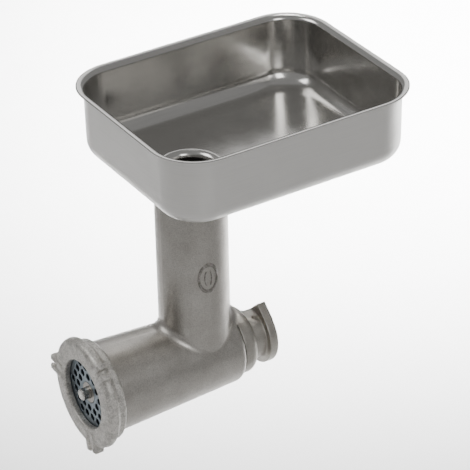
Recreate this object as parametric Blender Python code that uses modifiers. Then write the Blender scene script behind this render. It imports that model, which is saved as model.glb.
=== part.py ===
"""Meat mincer head: the grinding attachment that hangs from a kitchen machine's drive outlet.

A cast housing joins a round feed neck to a barrel. A worm in the barrel pushes what falls
down the neck against a cross knife and a perforated plate, which a screwed ring nut holds.
A rectangular tray stands on the neck. The rear hub plugs into the driving machine.

Metres. +Z up, and the worm's axis is Y: the ring nut is at the front, towards -Y, and the
origin is where the worm's axis meets the rear face of the hub's flange.
"""

import math

import bmesh
import bpy
from mathutils import Matrix, Vector

MM = 0.001

# Running and assembly gaps
GAP = 0.3 * MM
WORM_CLEARANCE = 0.8 * MM
CUT = 2.0 * MM  # how far a cutter runs past the face it opens

# Places along the worm's axis, front to back
BARREL_FRONT_Y = -168.4 * MM
NECK_Y = -66.0 * MM
BARREL_REAR_Y = -34.0 * MM
HUB_REAR_Y = 0.0

# Barrel and its chamber
BARREL_FRONT_R = 38.9 * MM
BARREL_REAR_R = 33.5 * MM
BARREL_EDGE = 2.5 * MM
BARREL_REAR_ROUND = 6.0 * MM
BARREL_WALL = 6.0 * MM
CHAMBER_FRONT_Y = -150.0 * MM
CHAMBER_REAR_Y = -38.5 * MM

# Ring nut thread
THREAD_PITCH = 4.0 * MM
THREAD_MAJOR_R = 40.3 * MM
THREAD_HEIGHT = 1.4 * MM
THREAD_LENGTH = 12.4 * MM
THREAD_CLEARANCE = 0.5 * MM
THREAD_SIDE_GAP = 0.3 * MM
THREAD_FOOT_SHARE = 0.60  # the ridge's width at its foot and its crest, in pitches
THREAD_CREST_SHARE = 0.20
THREAD_SUNK = 0.25 * THREAD_HEIGHT  # the ridge's end sinks this far under the root

# Ring nut
RING_R = 47.8 * MM
RING_COLLAR = 8.5 * MM
RING_STEP = 2.5 * MM
RING_SKIRT_R = 43.6 * MM
RING_WIDTH = 18.2 * MM
RING_OVERLAP = 4.8 * MM  # how far the nut's lip covers the plate's rim
RING_LIP = 5.7 * MM
RING_EDGE = 2.0 * MM
RING_FACE_ROUND = 5.5 * MM
LUG_ANGLES = (50.0, 175.0, 282.0)
LUG_PRONG = 4.6 * MM
LUG_SLOT = 4.6 * MM
LUG_PROUD = 5.0 * MM  # beyond the rim
LUG_FORWARD = 0.8 * MM  # ahead of the face
LUG_LENGTH = 10.4 * MM
LUG_INNER_R = 33.0 * MM
LUG_EDGE = 1.2 * MM

# Feed neck
NECK_R = 30.0 * MM
NECK_WALL = 3.5 * MM
NECK_TOP_Z = 180.1 * MM
NECK_EDGE = 1.0 * MM

# Mincing plate, with its bush and locating pin
PLATE_R = 34.8 * MM
PLATE_THICKNESS = 8.0 * MM
PLATE_PROUD = 1.0 * MM
HOLE_R = 3.0 * MM
HOLE_PITCH = 8.6 * MM
HOLE_INNER_R = 12.4 * MM
HOLE_RIM = 3.2 * MM
PLATE_BUSH_R = 9.0 * MM
PIN_R = 2.0 * MM
PIN_LENGTH = 12.0 * MM
PIN_ANGLE = 270.0

# Knife
KNIFE_INSET = 3.8 * MM  # how far the blades stop short of the plate's rim
KNIFE_HUB_R = 13.0 * MM
KNIFE_THICKNESS = 8.5 * MM
KNIFE_BLADE_WIDTH = 12.0 * MM
KNIFE_BLADES = 4

# Worm, its stud and its drive
WORM_ROOT_FRONT_R = 14.5 * MM
WORM_ROOT_REAR_R = 12.5 * MM
WORM_FRONT_EDGE = 2.0 * MM
WORM_TURNS = 3.6
WORM_PITCH_EASE = 0.35  # how much tighter the flight winds at the front than at the rear
FLIGHT_ROOT = 8.0 * MM
FLIGHT_TIP = 4.5 * MM
STUD_SHANK_R = 6.0 * MM
STUD_SHANK = 16.0 * MM
STUD_SQUARE = 12.0 * MM
STUD_JOURNAL_R = 5.0 * MM
STUD_PROUD = 7.5 * MM
STUD_PIN_R = 1.5 * MM
STUD_TIP_EDGE = 1.0 * MM
TAIL_SPIGOT_R = 8.0 * MM
TAIL_SPIGOT = 20.0 * MM
TAIL_R = 11.0 * MM
TAIL_REAR_Y = -2.5 * MM
TAIL_EDGE = 0.8 * MM
DRIVE_SQUARE = 13.0 * MM
DRIVE_DEPTH = 20.0 * MM
CROSS_PIN_R = 2.0 * MM

# Rear bearing and hub
WASHER_R = 19.0 * MM
WASHER_THICKNESS = 2.0 * MM
BUSH_R = 15.0 * MM
BOSS_R = 20.0 * MM
BOSS_REAR_Y = -19.0 * MM
HUB_BODY_R = 29.5 * MM
HUB_BODY_REAR_Y = -20.0 * MM
HUB_BODY_ROUND = 6.5 * MM
SPIGOT_R = 21.5 * MM
FLANGE_R = 27.0 * MM
FLANGE_THICKNESS = 8.0 * MM
FLANGE_EDGE = 0.8 * MM
FLANGE_CORNER_R = 31.8 * MM  # how far the flange's locating corner stands from the axis
FLANGE_CORNER_ANGLE = 80.0
FLANGE_FLAT_ANGLE = 37.0  # between the corner's radius and its flat side, towards -X
SEAL_R = 17.0 * MM
SEAL_THICKNESS = 6.4 * MM
DIMPLE_R = 2.8 * MM
DIMPLE_DEPTH = 3.0 * MM
DIMPLE_ANGLE = 70.0
GRUB_R = 2.5 * MM
GRUB_LENGTH = 7.0 * MM
GRUB_ANGLES = {"hub_grub_screw_top": 140.0, "hub_grub_screw_left": 200.0, "hub_grub_screw_bottom": 270.0}
GRUB_HEX_R = 1.5 * MM
GRUB_HEX_DEPTH = 2.5 * MM

# Tray and its spout
TRAY_X = 5.0 * MM
TRAY_OFFSET_Y = 48.5 * MM
TRAY_HALF_X = 88.0 * MM
TRAY_HALF_Y = 111.3 * MM
TRAY_CORNER_R = 34.7 * MM
TRAY_HEIGHT = 63.1 * MM
TRAY_SHEET = 1.2 * MM
TRAY_DRAFT = 0.015  # how far the walls lean in for each unit of height
TRAY_FLOOR_FILLET = 14.0 * MM
TRAY_LIP_OUT = 6.6 * MM
TRAY_LIP_UP = 4.3 * MM
SPOUT_R = 23.0 * MM
SPOUT_SHEET = 1.2 * MM
SPOUT_FLARE = 6.0 * MM
SPOUT_LENGTH = 34.0 * MM

# Facets round a circle
ROUND = 48
SMALL_ROUND = 28
HOLE_ROUND = 10
PIN_ROUND = 14
HELIX_ROUND = 30

# Facets along a rounding
ROUNDING_STEPS = 4
CORNER_STEPS = 6
FILLET_STEPS = 4
LIP_STEPS = 3

STEEL = (0.55, 0.55, 0.53, 1.0)
CAST = (0.43, 0.42, 0.39, 1.0)
FINISHES = {
    "cast_steel": (CAST, 0.45, 1.0),
    "bright_steel": (STEEL, 0.3, 1.0),
    "plate_steel": ((0.35, 0.38, 0.40, 1.0), 0.35, 1.0),
    "bronze": ((0.55, 0.38, 0.20, 1.0), 0.35, 1.0),
    "seal_rubber": ((0.03, 0.03, 0.03, 1.0), 0.7, 0.0),
    "washer_plastic": ((0.80, 0.78, 0.72, 1.0), 0.5, 0.0),
}

# What follows from the sizes above
PLATE_FRONT_Y = BARREL_FRONT_Y - PLATE_PROUD
RING_SHOULDER_Y = PLATE_FRONT_Y - GAP
RING_FRONT_Y = RING_SHOULDER_Y - RING_LIP
RING_REAR_Y = RING_FRONT_Y + RING_WIDTH
PLATE_REAR_Y = PLATE_FRONT_Y + PLATE_THICKNESS
KNIFE_FRONT_Y = PLATE_REAR_Y + GAP
KNIFE_REAR_Y = KNIFE_FRONT_Y + KNIFE_THICKNESS
WORM_FRONT_Y = KNIFE_REAR_Y + GAP
RECESS_R = PLATE_R + GAP
PIN_PLACE_R = RECESS_R + 0.3 * PIN_R
KNIFE_R = PLATE_R - KNIFE_INSET
RING_OPENING_R = PLATE_R - RING_OVERLAP
THREAD_ROOT_R = THREAD_MAJOR_R - THREAD_HEIGHT
THREAD_REAR_Y = BARREL_FRONT_Y + THREAD_LENGTH
RIDGE_FRONT_Y = BARREL_FRONT_Y + 0.5 * THREAD_PITCH
WASHER_REAR_Y = CHAMBER_REAR_Y - GAP
WORM_REAR_Y = WASHER_REAR_Y - WASHER_THICKNESS - GAP
NECK_BORE_R = NECK_R - NECK_WALL
BUSH_BORE_R = BUSH_R + GAP
FLANGE_FRONT_Y = HUB_REAR_Y - FLANGE_THICKNESS
TRAY_FLOOR_Z = NECK_TOP_Z + GAP
TRAY_Y = NECK_Y + TRAY_OFFSET_Y


def barrel_radius(y):
    """Outer radius of the tapered barrel at y."""
    share = (y - THREAD_REAR_Y) / (BARREL_REAR_Y - THREAD_REAR_Y)
    return BARREL_FRONT_R + share * (BARREL_REAR_R - BARREL_FRONT_R)


def chamber_radius(y):
    return barrel_radius(y) - BARREL_WALL


def polar(radius, degrees):
    """X and Z of a point round the worm's axis. 0 degrees is +X and 90 degrees is up."""
    angle = math.radians(degrees)
    return radius * math.cos(angle), radius * math.sin(angle)


# Scene helpers


def clear_scene():
    for obj in list(bpy.data.objects):
        bpy.data.objects.remove(obj, do_unlink=True)


def new_collection(name):
    collection = bpy.data.collections.new(name)
    bpy.context.scene.collection.children.link(collection)
    return collection


def new_material(name, colour, roughness, metallic):
    material = bpy.data.materials.new(name)
    material.use_nodes = True
    shader = material.node_tree.nodes["Principled BSDF"]
    shader.inputs["Base Color"].default_value = colour
    shader.inputs["Roughness"].default_value = roughness
    shader.inputs["Metallic"].default_value = metallic
    return material


def new_object(name, mesh, finish=None):
    """Puts a mesh in the scene: as a part if it has a finish, or else as a helper."""
    obj = bpy.data.objects.new(name, mesh)
    if finish is None:
        HELPERS.objects.link(obj)
        obj.hide_render = True
        obj.display_type = "WIRE"
    else:
        PARTS.objects.link(obj)
        mesh.materials.append(MATERIALS[finish])
    return obj


def mesh_from(bm, name):
    bmesh.ops.recalc_face_normals(bm, faces=bm.faces)
    if bm.calc_volume(signed=True) < 0.0:
        bmesh.ops.reverse_faces(bm, faces=bm.faces)
    mesh = bpy.data.meshes.new(name)
    bm.to_mesh(mesh)
    bm.free()
    return mesh


def along_y(obj):
    """Turns an object modelled along Z so that its +Z lies along +Y."""
    obj.rotation_euler = (-math.pi / 2, 0.0, 0.0)
    return obj


def turned(name, profile, finish=None, segments=ROUND, ring=False):
    """A turned shape from (radius, height) points, down the outer side. A ring's profile closes on itself."""
    bm = bmesh.new()
    points = [bm.verts.new((radius, 0.0, height)) for radius, height in profile]
    for first, second in zip(points, points[1:]):
        bm.edges.new((first, second))
    if ring:
        bm.edges.new((points[-1], points[0]))
    mesh = bpy.data.meshes.new(name)
    bm.to_mesh(mesh)
    bm.free()
    obj = new_object(name, mesh, finish)
    screw = obj.modifiers.new("Turn", "SCREW")
    screw.axis = "Z"
    screw.angle = 2 * math.pi
    screw.steps = segments
    screw.render_steps = segments
    screw.use_merge_vertices = True
    screw.merge_threshold = 0.00001
    return obj


def turned_on_worm_axis(name, profile, finish=None, segments=ROUND, ring=False):
    """A turned shape whose profile gives (radius, y), from the rear to the front down the outer side."""
    return along_y(turned(name, profile, finish, segments, ring))


def tube_profile(inner, outer, low, high):
    """The closed profile of a plain tube."""
    return [(outer, high), (outer, low), (inner, low), (inner, high)]


def rounded_edge(radius, rear_y, rounding):
    """Profile points round a rear edge, from the rear face out to the side."""
    points = []
    for step in range(ROUNDING_STEPS + 1):
        angle = math.radians(90.0 * step / ROUNDING_STEPS)
        inset = rounding * (1.0 - math.sin(angle))
        points.append((radius - inset, rear_y - rounding * (1.0 - math.cos(angle))))
    return points


def rounded_front(radius, front_y, rounding):
    """Profile points round a front edge, from the side in to the front face."""
    mirrored = rounded_edge(radius, -front_y, rounding)
    return [(r, -y) for r, y in reversed(mirrored)]


def cylinder(name, radius, start, end, finish=None, segments=SMALL_ROUND, end_radius=None):
    """A cylinder, or a cone, between two points."""
    start, end = Vector(start), Vector(end)
    bm = bmesh.new()
    bmesh.ops.create_cone(
        bm,
        cap_ends=True,
        segments=segments,
        radius1=radius,
        radius2=radius if end_radius is None else end_radius,
        depth=(end - start).length,
    )
    turn = (end - start).to_track_quat("Z", "Y").to_matrix().to_4x4()
    bm.transform(Matrix.Translation((start + end) / 2) @ turn)
    return new_object(name, mesh_from(bm, name), finish)


def box(name, low, high, finish=None):
    low, high = Vector(low), Vector(high)
    bm = bmesh.new()
    bmesh.ops.create_cube(bm, size=1.0)
    bm.transform(Matrix.Translation((low + high) / 2) @ Matrix.Diagonal((*(high - low), 1.0)))
    return new_object(name, mesh_from(bm, name), finish)


def turn_about_worm_axis(obj, degrees):
    """Turns an object's mesh about the worm's axis, from +X towards +Z."""
    obj.data.transform(Matrix.Rotation(math.radians(-degrees), 4, "Y"))
    return obj


def join(obj, *others):
    for other in others:
        union = obj.modifiers.new("Join " + other.name, "BOOLEAN")
        union.operation = "UNION"
        union.object = other


def cut(obj, *cutters):
    for cutter in cutters:
        difference = obj.modifiers.new("Cut " + cutter.name, "BOOLEAN")
        difference.operation = "DIFFERENCE"
        difference.object = cutter


def skin(name, sections, finish=None):
    """A loft through sections of equal length. The end sections are capped."""
    bm = bmesh.new()
    rings = [[bm.verts.new(point) for point in section] for section in sections]
    count = len(rings[0])
    for low, high in zip(rings, rings[1:]):
        for i in range(count):
            j = (i + 1) % count
            bm.faces.new((low[i], low[j], high[j], high[i]))
    bm.faces.new(rings[0])
    bm.faces.new(rings[-1])
    return new_object(name, mesh_from(bm, name), finish)


def helix(name, turns, y_at, section_at, finish=None, hand=1):
    """A helical ridge along the worm's axis. section_at gives the (radius, dy) corners at a share of the way."""
    steps = round(turns * HELIX_ROUND)
    sections = []
    for step in range(steps + 1):
        share = step / steps
        angle = hand * 360.0 * turns * share
        y = y_at(share)
        section = []
        for radius, dy in section_at(share):
            x, z = polar(radius, angle)
            section.append((x, y + dy, z))
        sections.append(section)
    return skin(name, sections, finish)


# Threads


def thread(name, root_r, crest_r, widen, front_y, length, fade):
    """A right-hand thread ridge. Its ends fade into the root over fade turns, or not at all if that is 0."""
    turns = length / THREAD_PITCH
    half_foot = THREAD_FOOT_SHARE / 2 * THREAD_PITCH + widen
    half_crest = THREAD_CREST_SHARE / 2 * THREAD_PITCH + widen
    low = root_r - THREAD_SUNK
    sunk = root_r - 2 * THREAD_SUNK

    def section_at(share):
        run = min(1.0, min(share, 1.0 - share) * turns / fade) if fade else 1.0
        top = low + (crest_r - low) * run
        return [(sunk, -half_foot), (top, -half_crest), (top, half_crest), (sunk, half_foot)]

    # Seen from the front, a right-hand thread runs back as it turns clockwise.
    return helix(name, turns, lambda share: front_y + length * share, section_at, hand=-1)


# The housing


def build_housing():
    step_y = THREAD_REAR_Y + BARREL_EDGE / 2
    housing = turned_on_worm_axis(
        "housing",
        [
            (0.0, BOSS_REAR_Y),
            (BOSS_R, BOSS_REAR_Y),
            (BOSS_R, BARREL_REAR_Y),
            *rounded_edge(BARREL_REAR_R, BARREL_REAR_Y, BARREL_REAR_ROUND),
            (BARREL_FRONT_R, step_y),
            (THREAD_ROOT_R, THREAD_REAR_Y),
            (THREAD_ROOT_R, BARREL_FRONT_Y),
            (0.0, BARREL_FRONT_Y),
        ],
        "cast_steel",
    )
    neck = turned(
        "neck_shape",
        [
            (0.0, NECK_TOP_Z),
            (NECK_R - NECK_EDGE, NECK_TOP_Z),
            (NECK_R, NECK_TOP_Z - NECK_EDGE),
            (NECK_R, 0.0),
            (0.0, 0.0),
        ],
    )
    neck.location.y = NECK_Y
    barrel_thread = thread(
        "barrel_thread",
        THREAD_ROOT_R,
        THREAD_MAJOR_R,
        0.0,
        RIDGE_FRONT_Y,
        THREAD_LENGTH - THREAD_PITCH,
        fade=0.25,
    )
    chamber = turned_on_worm_axis(
        "chamber_cutter",
        [
            (0.0, BOSS_REAR_Y + CUT),
            (BUSH_BORE_R, BOSS_REAR_Y + CUT),
            (BUSH_BORE_R, CHAMBER_REAR_Y),
            (chamber_radius(CHAMBER_REAR_Y), CHAMBER_REAR_Y),
            (chamber_radius(CHAMBER_FRONT_Y), CHAMBER_FRONT_Y),
            (RECESS_R, CHAMBER_FRONT_Y),
            (RECESS_R, BARREL_FRONT_Y - CUT),
            (0.0, BARREL_FRONT_Y - CUT),
        ],
    )
    neck_bore = cylinder(
        "neck_bore_cutter",
        NECK_BORE_R,
        (0.0, NECK_Y, 0.0),
        (0.0, NECK_Y, NECK_TOP_Z + CUT),
        segments=ROUND - 2,
    )
    x, z = polar(PIN_PLACE_R, PIN_ANGLE)
    pin_hole = cylinder(
        "pin_hole_cutter",
        PIN_R + GAP,
        (x, BARREL_FRONT_Y - CUT, z),
        (x, BARREL_FRONT_Y + PIN_LENGTH + 2 * GAP, z),
        segments=PIN_ROUND,
    )
    join(housing, neck, barrel_thread)
    cut(housing, chamber, neck_bore, pin_hole)
    cylinder(
        "plate_locating_pin",
        PIN_R,
        (x, BARREL_FRONT_Y + GAP, z),
        (x, BARREL_FRONT_Y + GAP + PIN_LENGTH, z),
        "bright_steel",
        segments=PIN_ROUND,
    )


# The cutting set


def plate_holes():
    """Centres of the plate's holes: a triangular grid between the bush and the rim."""
    reach = PLATE_R - HOLE_RIM - HOLE_R
    rows = int(reach / (HOLE_PITCH * math.sqrt(0.75))) + 1
    columns = int(reach / HOLE_PITCH) + 1
    centres = []
    for row in range(-rows, rows + 1):
        z = row * HOLE_PITCH * math.sqrt(0.75)
        for column in range(-columns, columns + 1):
            x = (column + 0.5 * (row % 2)) * HOLE_PITCH
            if HOLE_INNER_R <= math.hypot(x, z) <= reach:
                centres.append((x, z))
    return centres


def build_plate():
    plate = cylinder(
        "mincing_plate",
        PLATE_R,
        (0.0, PLATE_REAR_Y, 0.0),
        (0.0, PLATE_FRONT_Y, 0.0),
        "plate_steel",
        segments=ROUND,
    )
    bm = bmesh.new()
    turn = Matrix.Rotation(math.pi / 2, 4, "X")
    middle = (PLATE_FRONT_Y + PLATE_REAR_Y) / 2
    for x, z in plate_holes():
        bmesh.ops.create_cone(
            bm,
            cap_ends=True,
            segments=HOLE_ROUND,
            radius1=HOLE_R,
            radius2=HOLE_R,
            depth=PLATE_THICKNESS + 2 * CUT,
            matrix=Matrix.Translation((x, middle, z)) @ turn,
        )
    holes = new_object("plate_holes_cutter", mesh_from(bm, "plate_holes_cutter"))
    bore = cylinder(
        "plate_bore_cutter",
        PLATE_BUSH_R + GAP,
        (0.0, PLATE_REAR_Y + CUT, 0.0),
        (0.0, PLATE_FRONT_Y - CUT, 0.0),
    )
    x, z = polar(PIN_PLACE_R, PIN_ANGLE)
    notch = cylinder(
        "plate_notch_cutter",
        PIN_R + 2 * GAP,
        (x, PLATE_REAR_Y + CUT, z),
        (x, PLATE_FRONT_Y - CUT, z),
        segments=PIN_ROUND,
    )
    cut(plate, holes, bore, notch)
    turned_on_worm_axis(
        "plate_bush",
        tube_profile(STUD_JOURNAL_R + GAP, PLATE_BUSH_R, PLATE_FRONT_Y, PLATE_REAR_Y),
        "bronze",
        segments=SMALL_ROUND,
        ring=True,
    )


def build_knife():
    knife = cylinder(
        "knife",
        KNIFE_HUB_R,
        (0.0, KNIFE_REAR_Y, 0.0),
        (0.0, KNIFE_FRONT_Y, 0.0),
        "bright_steel",
    )
    half = KNIFE_BLADE_WIDTH / 2
    back = KNIFE_REAR_Y - 0.25 * KNIFE_THICKNESS
    for blade in range(KNIFE_BLADES):
        # The leading side is square to the plate and the trailing side slopes away from it.
        sections = []
        for radius, width in ((0.5 * KNIFE_HUB_R, half), (KNIFE_R, 0.8 * half)):
            sections.append(
                [
                    (radius, KNIFE_FRONT_Y, -width),
                    (radius, KNIFE_FRONT_Y, width),
                    (radius, back, 0.7 * width),
                    (radius, back, -0.2 * width),
                    (radius, KNIFE_FRONT_Y + 0.2 * KNIFE_THICKNESS, -width),
                ]
            )
        shape = skin(f"knife_blade_{blade + 1}_shape", sections)
        turn_about_worm_axis(shape, 45.0 + blade * 360.0 / KNIFE_BLADES)
        join(knife, shape)
    half_hole = STUD_SQUARE / 2 + GAP
    cut(
        knife,
        box(
            "knife_square_cutter",
            (-half_hole, KNIFE_FRONT_Y - CUT, -half_hole),
            (half_hole, KNIFE_REAR_Y + CUT, half_hole),
        ),
    )


def lug_prong(name, offset):
    """One prong of a lug at +X: it stands forward of the nut's face and out of its rim."""
    easing = LUG_EDGE
    face = RING_FRONT_Y - LUG_FORWARD
    buried = RING_FRONT_Y + 0.3 * RING_LIP
    rear = RING_FRONT_Y + LUG_LENGTH
    top = RING_R + LUG_PROUD
    foot = (RING_SKIRT_R + THREAD_MAJOR_R + THREAD_CLEARANCE) / 2
    outline = [
        (LUG_INNER_R, buried),
        (LUG_INNER_R, face + easing),
        (LUG_INNER_R + easing, face),
        (top - easing, face),
        (top, face + easing),
        (top, rear - 2 * easing),
        (foot + easing, rear),
        (foot, rear),
        (foot, buried),
    ]
    ends = (offset - LUG_PRONG / 2, offset + LUG_PRONG / 2)
    return skin(name, [[(radius, y, z) for radius, y in outline] for z in ends])


def build_ring_nut():
    bore_r = THREAD_ROOT_R + THREAD_CLEARANCE
    edge = RING_EDGE
    collar_y = RING_FRONT_Y + RING_COLLAR
    ring = turned_on_worm_axis(
        "ring_nut",
        [
            (RING_SKIRT_R - edge, RING_REAR_Y),
            (RING_SKIRT_R, RING_REAR_Y - edge),
            (RING_SKIRT_R, collar_y + RING_STEP),
            (RING_R - edge / 2, collar_y),
            (RING_R, collar_y - edge / 2),
            *rounded_front(RING_R, RING_FRONT_Y, RING_FACE_ROUND),
            (RING_OPENING_R + edge / 2, RING_FRONT_Y),
            (RING_OPENING_R, RING_FRONT_Y + edge / 2),
            (RING_OPENING_R, RING_SHOULDER_Y),
            (bore_r, RING_SHOULDER_Y),
            (bore_r, RING_REAR_Y),
        ],
        "cast_steel",
        ring=True,
    )
    # The groove starts a whole number of turns ahead of the barrel's ridge, so the two mesh.
    turns_ahead = math.ceil((RIDGE_FRONT_Y - RING_SHOULDER_Y) / THREAD_PITCH) - 1
    groove_front = RIDGE_FRONT_Y - turns_ahead * THREAD_PITCH
    groove_turns = math.ceil((RING_REAR_Y - groove_front) / THREAD_PITCH) + 1
    groove = thread(
        "ring_thread_cutter",
        bore_r,
        THREAD_MAJOR_R + THREAD_CLEARANCE,
        THREAD_SIDE_GAP,
        groove_front,
        groove_turns * THREAD_PITCH,
        fade=0,
    )
    cut(ring, groove)
    offset = (LUG_SLOT + LUG_PRONG) / 2
    for lug, angle in enumerate(LUG_ANGLES):
        for side in (-1, 1):
            prong = lug_prong(f"lug_{lug + 1}_{side + 1}_shape", side * offset)
            turn_about_worm_axis(prong, angle)
            join(ring, prong)


# The worm and its drive


def build_worm():
    worm = turned_on_worm_axis(
        "worm",
        [
            (0.0, WORM_REAR_Y),
            (WORM_ROOT_REAR_R, WORM_REAR_Y),
            (WORM_ROOT_FRONT_R, WORM_FRONT_Y + WORM_FRONT_EDGE),
            (WORM_ROOT_FRONT_R - WORM_FRONT_EDGE, WORM_FRONT_Y),
            (0.0, WORM_FRONT_Y),
        ],
        "cast_steel",
        segments=ROUND // 2,
    )
    flight_rear = WORM_REAR_Y - FLIGHT_ROOT / 2 - GAP
    flight_front = CHAMBER_FRONT_Y + FLIGHT_ROOT / 2

    def y_at(share):
        eased = share + WORM_PITCH_EASE * share * (1.0 - share)
        return flight_rear + (flight_front - flight_rear) * eased

    def section_at(share):
        tip = chamber_radius(y_at(share)) - WORM_CLEARANCE
        root = 0.8 * WORM_ROOT_REAR_R
        return [
            (root, -FLIGHT_ROOT / 2),
            (tip, -FLIGHT_TIP / 2),
            (tip, FLIGHT_TIP / 2),
            (root, FLIGHT_ROOT / 2),
        ]

    # A left-hand flight, so that it pushes forward when it turns anticlockwise seen from the front.
    flight = helix("flight_shape", WORM_TURNS, y_at, section_at, hand=-1)
    join(worm, flight)
    stud_bore = cylinder(
        "stud_bore_cutter",
        STUD_SHANK_R + GAP,
        (0.0, WORM_FRONT_Y - CUT, 0.0),
        (0.0, WORM_FRONT_Y + STUD_SHANK + GAP, 0.0),
    )
    tail_bore = cylinder(
        "tail_bore_cutter",
        TAIL_SPIGOT_R + GAP,
        (0.0, WORM_REAR_Y + CUT, 0.0),
        (0.0, WORM_REAR_Y - TAIL_SPIGOT - GAP, 0.0),
    )
    cross_y = WORM_REAR_Y - 0.6 * TAIL_SPIGOT
    cross_hole = cylinder(
        "cross_hole_cutter",
        CROSS_PIN_R + GAP,
        (0.0, cross_y, -WORM_ROOT_FRONT_R - CUT),
        (0.0, cross_y, WORM_ROOT_FRONT_R + CUT),
        segments=PIN_ROUND,
    )
    pin_y = WORM_FRONT_Y + 0.5 * STUD_SHANK
    pin_hole = cylinder(
        "stud_pin_hole_cutter",
        STUD_PIN_R + GAP,
        (0.0, pin_y, -WORM_ROOT_FRONT_R - CUT),
        (0.0, pin_y, WORM_ROOT_FRONT_R + CUT),
        segments=PIN_ROUND,
    )
    cut(worm, stud_bore, tail_bore, cross_hole, pin_hole)
    build_stud(pin_y, pin_hole)
    build_drive(cross_y, cross_hole)


def build_stud(pin_y, pin_hole):
    square_rear = WORM_FRONT_Y - GAP
    square_front = KNIFE_FRONT_Y
    stud = cylinder(
        "worm_stud",
        STUD_SHANK_R,
        (0.0, WORM_FRONT_Y + STUD_SHANK, 0.0),
        (0.0, square_front + CUT, 0.0),
        "bright_steel",
    )
    half = STUD_SQUARE / 2
    square = box(
        "stud_square_shape",
        (-half, square_front, -half),
        (half, square_rear, half),
    )
    tip_y = PLATE_FRONT_Y - STUD_PROUD
    journal = turned_on_worm_axis(
        "stud_journal_shape",
        [
            (0.0, square_front + CUT),
            (STUD_JOURNAL_R, square_front + CUT),
            (STUD_JOURNAL_R, tip_y + STUD_TIP_EDGE),
            (STUD_JOURNAL_R - STUD_TIP_EDGE, tip_y),
            (0.0, tip_y),
        ],
        segments=SMALL_ROUND,
    )
    join(stud, square, journal)
    cut(stud, pin_hole)
    reach = WORM_ROOT_FRONT_R - WORM_FRONT_EDGE
    cylinder(
        "stud_pin",
        STUD_PIN_R,
        (0.0, pin_y, -reach),
        (0.0, pin_y, reach),
        "bright_steel",
        segments=PIN_ROUND,
    )


def build_drive(cross_y, cross_hole):
    drive = turned_on_worm_axis(
        "drive_coupling",
        [
            (0.0, TAIL_REAR_Y),
            (TAIL_R - TAIL_EDGE, TAIL_REAR_Y),
            (TAIL_R, TAIL_REAR_Y - TAIL_EDGE),
            (TAIL_R, WORM_REAR_Y + GAP),
            (TAIL_SPIGOT_R, WORM_REAR_Y + GAP),
            (TAIL_SPIGOT_R, WORM_REAR_Y - TAIL_SPIGOT),
            (0.0, WORM_REAR_Y - TAIL_SPIGOT),
        ],
        "bright_steel",
        segments=SMALL_ROUND,
    )
    half = DRIVE_SQUARE / 2
    socket = box(
        "drive_socket_cutter",
        (-half, TAIL_REAR_Y - DRIVE_DEPTH, -half),
        (half, TAIL_REAR_Y + CUT, half),
    )
    cut(drive, socket, cross_hole)
    reach = WORM_ROOT_REAR_R - GAP
    cylinder(
        "coupling_pin",
        CROSS_PIN_R,
        (0.0, cross_y, -reach),
        (0.0, cross_y, reach),
        "bright_steel",
        segments=PIN_ROUND,
    )


# The rear bearing and the hub


def build_bearing():
    turned_on_worm_axis(
        "thrust_washer",
        tube_profile(TAIL_R + GAP, WASHER_R, WASHER_REAR_Y - WASHER_THICKNESS, WASHER_REAR_Y),
        "washer_plastic",
        segments=SMALL_ROUND,
        ring=True,
    )
    turned_on_worm_axis(
        "rear_bush",
        tube_profile(TAIL_R + GAP, BUSH_R, CHAMBER_REAR_Y, BOSS_REAR_Y),
        "bronze",
        segments=SMALL_ROUND,
        ring=True,
    )
    seal_front = BOSS_REAR_Y + 2 * GAP
    turned_on_worm_axis(
        "hub_seal",
        tube_profile(TAIL_R + GAP, SEAL_R, seal_front, seal_front + SEAL_THICKNESS),
        "seal_rubber",
        segments=SMALL_ROUND,
        ring=True,
    )


def flange_corner():
    """The locating corner: a wedge from beyond the flange's rim, one side of it tangent to the rim."""
    foot = 0.45 * FLANGE_R
    flat_drop = (FLANGE_CORNER_R - foot) * math.tan(math.radians(FLANGE_FLAT_ANGLE))
    touch_angle = math.acos(FLANGE_R / FLANGE_CORNER_R)
    outline = [
        (FLANGE_CORNER_R, 0.0),
        (foot, flat_drop),
        (0.9 * FLANGE_R * math.cos(touch_angle), -0.9 * FLANGE_R * math.sin(touch_angle)),
        (FLANGE_R * math.cos(touch_angle), -FLANGE_R * math.sin(touch_angle)),
    ]
    sections = [[(x, y, z) for x, z in outline] for y in (FLANGE_FRONT_Y, HUB_REAR_Y)]
    corner = skin("flange_corner_shape", sections)
    return turn_about_worm_axis(corner, FLANGE_CORNER_ANGLE)


def flange_flat():
    """Cuts the rim back along the corner's side towards -X."""
    angle = math.radians(FLANGE_FLAT_ANGLE)
    along = Vector((-math.cos(angle), math.sin(angle)))
    out = Vector((math.sin(angle), math.cos(angle)))
    tip = Vector((FLANGE_CORNER_R, 0.0))
    start = tip - 0.2 * FLANGE_R * along
    end = tip + 1.6 * FLANGE_R * along
    outline = [start, end, end + FLANGE_R * out, start + FLANGE_R * out]
    ends = ((FLANGE_FRONT_Y + HUB_BODY_REAR_Y) / 2, HUB_REAR_Y + CUT)
    sections = [[(p.x, y, p.y) for p in outline] for y in ends]
    flat = skin("flange_flat_cutter", sections)
    return turn_about_worm_axis(flat, FLANGE_CORNER_ANGLE)


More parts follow.
